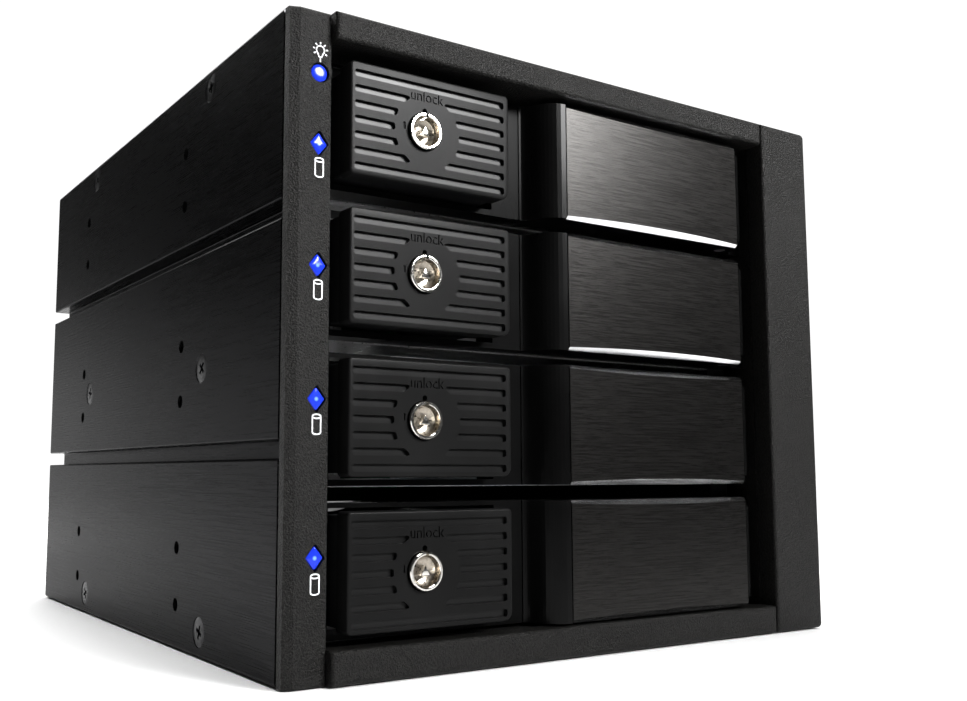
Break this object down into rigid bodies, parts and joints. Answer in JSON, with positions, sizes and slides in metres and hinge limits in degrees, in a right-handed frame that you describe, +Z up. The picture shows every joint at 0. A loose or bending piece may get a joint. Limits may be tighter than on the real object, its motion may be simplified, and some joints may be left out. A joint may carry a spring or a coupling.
{
  "type": "hot-swap drive cage",
  "caption": "Black metal cage for hot-swap hard drives that fits stacked computer drive bays, with lockable lever trays and a rear fan.",
  "frame": {"origin": "middle of the footprint, on the underside of the cage", "axes": "+Z up, the tray fronts face -Y, +X to the right seen from the front"},
  "size_m": [0.146, 0.1994, 0.1261],
  "materials": {
    "body_aluminium": "black anodised, brushed along the depth",
    "bezel_plastic": "fine spark-eroded grain",
    "tray_plastic": "satin",
    "button_plastic": "satin",
    "lever_plastic": "glossy",
    "plate_aluminium": "black anodised, fine horizontal brushing, bright cut edges",
    "lock_nickel": "polished nickel",
    "plated_steel": "zinc plated",
    "inner_plastic": "plain moulded",
    "circuit_board": "solder mask",
    "connector_plastic": "plain moulded",
    "fan_plastic": "plain moulded",
    "light_lens": "clear blue light pipe"
  },
  "bodies": {
    "cage": {"side_panel_left": "body_aluminium", "side_panel_right": "body_aluminium", "top_cover": "body_aluminium", "bottom_plate": "body_aluminium", "rear_panel": "body_aluminium", "front_bezel": "bezel_plastic", "top_rail": "bezel_plastic", "bottom_rail": "bezel_plastic", "right_pillar": "bezel_plastic", "power_light": "light_lens", "drive_light_1": "light_lens", "drive_light_2": "light_lens", "drive_light_3": "light_lens", "drive_light_4": "light_lens", "light_board": "circuit_board", "guide_left": "inner_plastic", "guide_right": "inner_plastic", "backplane_board": "circuit_board", "drive_connector_1": "connector_plastic", "drive_connector_2": "connector_plastic", "drive_connector_3": "connector_plastic", "drive_connector_4": "connector_plastic", "data_port_1": "connector_plastic", "data_port_2": "connector_plastic", "data_port_3": "connector_plastic", "data_port_4": "connector_plastic", "power_port_1": "connector_plastic", "power_port_2": "connector_plastic", "fan_frame": "fan_plastic", "fan_guard": "plated_steel"},
    "tray_1": {"tray_carrier_1": "plated_steel", "tray_front_1": "tray_plastic", "hinge_pin_1": "plated_steel"},
    "lever_arm_1": {"lever_1": "lever_plastic", "lever_plate_1": "plate_aluminium"},
    "button_1": {"unlock_button_1": "button_plastic"},
    "lock_1": {"lock_cylinder_1": "lock_nickel"},
    "tray_2": {"tray_carrier_2": "plated_steel", "tray_front_2": "tray_plastic", "hinge_pin_2": "plated_steel"},
    "lever_arm_2": {"lever_2": "lever_plastic", "lever_plate_2": "plate_aluminium"},
    "button_2": {"unlock_button_2": "button_plastic"},
    "lock_2": {"lock_cylinder_2": "lock_nickel"},
    "tray_3": {"tray_carrier_3": "plated_steel", "tray_front_3": "tray_plastic", "hinge_pin_3": "plated_steel"},
    "lever_arm_3": {"lever_3": "lever_plastic", "lever_plate_3": "plate_aluminium"},
    "button_3": {"unlock_button_3": "button_plastic"},
    "lock_3": {"lock_cylinder_3": "lock_nickel"},
    "tray_4": {"tray_carrier_4": "plated_steel", "tray_front_4": "tray_plastic", "hinge_pin_4": "plated_steel"},
    "lever_arm_4": {"lever_4": "lever_plastic", "lever_plate_4": "plate_aluminium"},
    "button_4": {"unlock_button_4": "button_plastic"},
    "lock_4": {"lock_cylinder_4": "lock_nickel"},
    "fan": {"fan_rotor": "fan_plastic"}
  },
  "joints": [
    {"name": "tray_slide_1", "type": "slide", "parent": "cage", "child": "tray_1", "axis": [0, -1, 0], "range_m": [0, 0.15]},
    {"name": "lever_hinge_1", "type": "hinge", "parent": "tray_1", "child": "lever_arm_1", "pos_m": [0.0465, -0.09368, 0.01955], "axis": [0, 0, 1], "range_deg": [0, 75]},
    {"name": "button_press_1", "type": "slide", "parent": "tray_1", "child": "button_1", "axis": [0, 1, 0], "range_m": [0, 0.002], "stiffness_N_per_m": 300, "springref_m": -0.002},
    {"name": "lock_turn_1", "type": "hinge", "parent": "button_1", "child": "lock_1", "pos_m": [-0.04406, -0.09858, 0.01939], "axis": [0, 1, 0], "range_deg": [0, 90]},
    {"name": "tray_slide_2", "type": "slide", "parent": "cage", "child": "tray_2", "axis": [0, -1, 0], "range_m": [0, 0.15]},
    {"name": "lever_hinge_2", "type": "hinge", "parent": "tray_2", "child": "lever_arm_2", "pos_m": [0.0465, -0.09368, 0.04829], "axis": [0, 0, 1], "range_deg": [0, 75]},
    {"name": "button_press_2", "type": "slide", "parent": "tray_2", "child": "button_2", "axis": [0, 1, 0], "range_m": [0, 0.002], "stiffness_N_per_m": 300, "springref_m": -0.002},
    {"name": "lock_turn_2", "type": "hinge", "parent": "button_2", "child": "lock_2", "pos_m": [-0.04406, -0.09858, 0.04813], "axis": [0, 1, 0], "range_deg": [0, 90]},
    {"name": "tray_slide_3", "type": "slide", "parent": "cage", "child": "tray_3", "axis": [0, -1, 0], "range_m": [0, 0.15]},
    {"name": "lever_hinge_3", "type": "hinge", "parent": "tray_3", "child": "lever_arm_3", "pos_m": [0.0465, -0.09368, 0.07702], "axis": [0, 0, 1], "range_deg": [0, 75]},
    {"name": "button_press_3", "type": "slide", "parent": "tray_3", "child": "button_3", "axis": [0, 1, 0], "range_m": [0, 0.002], "stiffness_N_per_m": 300, "springref_m": -0.002},
    {"name": "lock_turn_3", "type": "hinge", "parent": "button_3", "child": "lock_3", "pos_m": [-0.04406, -0.09858, 0.07686], "axis": [0, 1, 0], "range_deg": [0, 90]},
    {"name": "tray_slide_4", "type": "slide", "parent": "cage", "child": "tray_4", "axis": [0, -1, 0], "range_m": [0, 0.15]},
    {"name": "lever_hinge_4", "type": "hinge", "parent": "tray_4", "child": "lever_arm_4", "pos_m": [0.0465, -0.09368, 0.10576], "axis": [0, 0, 1], "range_deg": [0, 75]},
    {"name": "button_press_4", "type": "slide", "parent": "tray_4", "child": "button_4", "axis": [0, 1, 0], "range_m": [0, 0.002], "stiffness_N_per_m": 300, "springref_m": -0.002},
    {"name": "lock_turn_4", "type": "hinge", "parent": "button_4", "child": "lock_4", "pos_m": [-0.04406, -0.09858, 0.10559], "axis": [0, 1, 0], "range_deg": [0, 90]},
    {"name": "fan_spin", "type": "hinge", "parent": "cage", "child": "fan", "pos_m": [0.022, 0.08395, 0.062], "axis": [0, 1, 0], "continuous": true}
  ]
}
